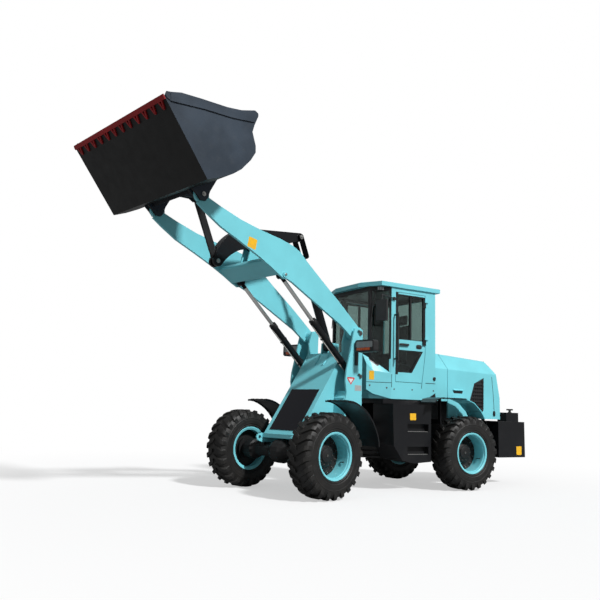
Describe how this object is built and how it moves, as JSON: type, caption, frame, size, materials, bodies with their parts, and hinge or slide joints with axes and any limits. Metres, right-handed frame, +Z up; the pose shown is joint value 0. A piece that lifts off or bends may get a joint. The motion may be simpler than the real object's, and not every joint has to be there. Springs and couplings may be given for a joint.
{
  "type": "wheel loader",
  "caption": "Compact articulated wheel loader with a raised Z-bar boom, bucket, cab with opening doors, hinged hood and turning wheels.",
  "frame": {"origin": "middle of the overall bounding box, on the ground", "axes": "+X towards the bucket along the rear frame, +Y to the machine's left, +Z up"},
  "size_m": [8.544, 3.2282, 4.9576],
  "materials": {
    "teal_paint": "satin",
    "black_paint": "satin",
    "bucket_paint": "satin",
    "edge_red": "satin",
    "tyre": "matte",
    "glass": "clear",
    "chrome": "polished",
    "plastic": "matte",
    "seat_cover": "woven",
    "steel": "brushed"
  },
  "bodies": {
    "rear_frame": {"rear_frame": "black_paint", "rear_axle": "black_paint", "cab_frame": "teal_paint", "cab_glass": "glass", "cab_roof": "teal_paint", "counterweight": "black_paint", "dashboard": "plastic", "grab_bars": "black_paint", "mirrors": "plastic", "power_unit": "plastic", "rear_cowl": "teal_paint", "rear_fenders": "black_paint", "seat": "seat_cover", "steering_column": "plastic", "step_boxes": "black_paint", "tow_pin": "steel", "work_lamps": "plastic"},
    "front_frame": {"front_frame": "teal_paint", "front_axle": "black_paint", "front_fenders": "black_paint", "front_panel": "black_paint", "headlamps": "plastic", "tie_down_eyes": "teal_paint"},
    "boom": {"lift_arms": "teal_paint"},
    "rocker": {"rocker": "black_paint"},
    "bucket_link": {"bucket_link": "teal_paint"},
    "bucket": {"bucket": "bucket_paint", "cutting_edge": "edge_red"},
    "lift_barrel_left": {"lift_barrel_left": "teal_paint"},
    "lift_barrel_right": {"lift_barrel_right": "teal_paint"},
    "lift_rod_left": {"lift_rod_left": "chrome"},
    "lift_rod_right": {"lift_rod_right": "chrome"},
    "tilt_barrel": {"tilt_barrel": "teal_paint"},
    "tilt_rod": {"tilt_rod": "chrome"},
    "steering_barrel_left": {"steering_barrel_left": "black_paint"},
    "steering_barrel_right": {"steering_barrel_right": "black_paint"},
    "steering_rod_left": {"steering_rod_left": "chrome"},
    "steering_rod_right": {"steering_rod_right": "chrome"},
    "door_left": {"door_left": "teal_paint", "door_glass_left": "glass"},
    "door_right": {"door_right": "teal_paint", "door_glass_right": "glass"},
    "hood": {"hood": "teal_paint", "hood_grilles": "plastic"},
    "wheel_front_left": {"tyre_front_left": "tyre", "rim_front_left": "teal_paint"},
    "wheel_front_right": {"tyre_front_right": "tyre", "rim_front_right": "teal_paint"},
    "wheel_rear_left": {"tyre_rear_left": "tyre", "rim_rear_left": "teal_paint"},
    "wheel_rear_right": {"tyre_rear_right": "tyre", "rim_rear_right": "teal_paint"}
  },
  "joints": [
    {"name": "articulation", "type": "hinge", "parent": "rear_frame", "child": "front_frame", "pos_m": [-0.48196, -0.50086, 0.74157], "axis": [0, 0, 1], "range_deg": [-47.6, 22.4]},
    {"name": "wheel_front_left", "type": "hinge", "parent": "front_frame", "child": "wheel_front_left", "pos_m": [0.85237, 0.72678, 0.58857], "axis": [-0.2181, 0.9759, 0], "continuous": true},
    {"name": "wheel_front_right", "type": "hinge", "parent": "front_frame", "child": "wheel_front_right", "pos_m": [1.24808, -1.04353, 0.58857], "axis": [-0.2181, 0.9759, 0], "continuous": true},
    {"name": "wheel_rear_left", "type": "hinge", "parent": "rear_frame", "child": "wheel_rear_left", "pos_m": [-2.05196, 0.40614, 0.58857], "axis": [0, 1, 0], "continuous": true},
    {"name": "wheel_rear_right", "type": "hinge", "parent": "rear_frame", "child": "wheel_rear_right", "pos_m": [-2.05196, -1.40786, 0.58857], "axis": [0, 1, 0], "continuous": true},
    {"name": "boom_lift", "type": "hinge", "parent": "front_frame", "child": "boom", "pos_m": [0.06943, -0.37761, 2.39157], "axis": [0.2181, -0.9759, 0], "range_deg": [-64, 20]},
    {"name": "bucket_tilt", "type": "hinge", "parent": "boom", "child": "bucket", "pos_m": [3.02743, 0.28358, 3.88157], "axis": [0.2181, -0.9759, 0], "range_deg": [-90, 12]},
    {"name": "rocker_swing", "type": "hinge", "parent": "boom", "child": "rocker", "pos_m": [1.73337, -0.00568, 3.58957], "axis": [0.2181, -0.9759, 0], "range_deg": [-4.82, 32.9]},
    {"name": "link_swing", "type": "hinge", "parent": "rocker", "child": "bucket_link", "pos_m": [2.37747, 0.1383, 3.19957], "axis": [0.2181, -0.9759, 0], "range_deg": [-51.8, 7.34]},
    {"name": "lift_barrel_left", "type": "hinge", "parent": "front_frame", "child": "lift_barrel_left", "pos_m": [-0.04055, 0.05481, 1.72757], "axis": [0.2181, -0.9759, 0], "range_deg": [-56.18, 17.9]},
    {"name": "lift_rod_left", "type": "slide", "parent": "lift_barrel_left", "child": "lift_rod_left", "axis": [0.739, 0.1652, 0.6531], "range_m": [-0.664, 0.2109]},
    {"name": "lift_barrel_right", "type": "hinge", "parent": "front_frame", "child": "lift_barrel_right", "pos_m": [0.15403, -0.81571, 1.72757], "axis": [0.2181, -0.9759, 0], "range_deg": [-56.18, 17.9]},
    {"name": "lift_rod_right", "type": "slide", "parent": "lift_barrel_right", "child": "lift_rod_right", "axis": [0.739, 0.1652, 0.6531], "range_m": [-0.664, 0.2109]},
    {"name": "tilt_barrel", "type": "hinge", "parent": "front_frame", "child": "tilt_barrel", "pos_m": [0.14262, -0.36125, 2.20457], "axis": [0.2181, -0.9759, 0], "range_deg": [-61.3, 19.5]},
    {"name": "tilt_rod", "type": "slide", "parent": "tilt_barrel", "child": "tilt_rod", "axis": [0.4026, 0.09, 0.9109], "range_m": [-0.4919, 0.0699]},
    {"name": "steering_barrel_left", "type": "hinge", "parent": "rear_frame", "child": "steering_barrel_left", "pos_m": [-1.04196, -0.27886, 0.74157], "axis": [0, 0, 1], "range_deg": [-17.64, 8.56]},
    {"name": "steering_rod_left", "type": "slide", "parent": "steering_barrel_left", "child": "steering_rod_left", "axis": [0.9955, 0.0951, 0], "range_m": [-0.0969, 0.2002]},
    {"name": "steering_barrel_right", "type": "hinge", "parent": "rear_frame", "child": "steering_barrel_right", "pos_m": [-1.04196, -0.72286, 0.74157], "axis": [0, 0, 1], "range_deg": [-17.64, 8.56]},
    {"name": "steering_rod_right", "type": "slide", "parent": "steering_barrel_right", "child": "steering_rod_right", "axis": [0.9976, 0.0691, 0], "range_m": [-0.2002, 0.0969]},
    {"name": "door_left", "type": "hinge", "parent": "rear_frame", "child": "door_left", "pos_m": [-1.37596, 0.23514, 2.39957], "axis": [0, 0, 1], "range_deg": [0, 95]},
    {"name": "door_right", "type": "hinge", "parent": "rear_frame", "child": "door_right", "pos_m": [-1.37596, -1.23686, 2.39957], "axis": [0, 0, 1], "range_deg": [-95, 0]},
    {"name": "hood", "type": "hinge", "parent": "rear_frame", "child": "hood", "pos_m": [-3.08196, -0.50086, 1.16457], "axis": [0, -1, 0], "range_deg": [0, 55]}
  ],
  "couplings": [
    {"joint": "rocker_swing", "follows": "bucket_tilt", "ratio": -0.36},
    {"joint": "link_swing", "follows": "bucket_tilt", "ratio": 0.57},
    {"joint": "lift_barrel_left", "follows": "boom_lift", "ratio": 0.87},
    {"joint": "lift_rod_left", "follows": "boom_lift", "m_per_rad": 0.59},
    {"joint": "lift_barrel_right", "follows": "boom_lift", "ratio": 0.87},
    {"joint": "lift_rod_right", "follows": "boom_lift", "m_per_rad": 0.59},
    {"joint": "tilt_barrel", "follows": "boom_lift", "ratio": 0.95},
    {"joint": "tilt_rod", "follows": "bucket_tilt", "m_per_rad": 0.31},
    {"joint": "steering_barrel_left", "follows": "articulation", "ratio": 0.36},
    {"joint": "steering_rod_left", "follows": "articulation", "m_per_rad": -0.235},
    {"joint": "steering_barrel_right", "follows": "articulation", "ratio": 0.36},
    {"joint": "steering_rod_right", "follows": "articulation", "m_per_rad": 0.235}
  ]
}
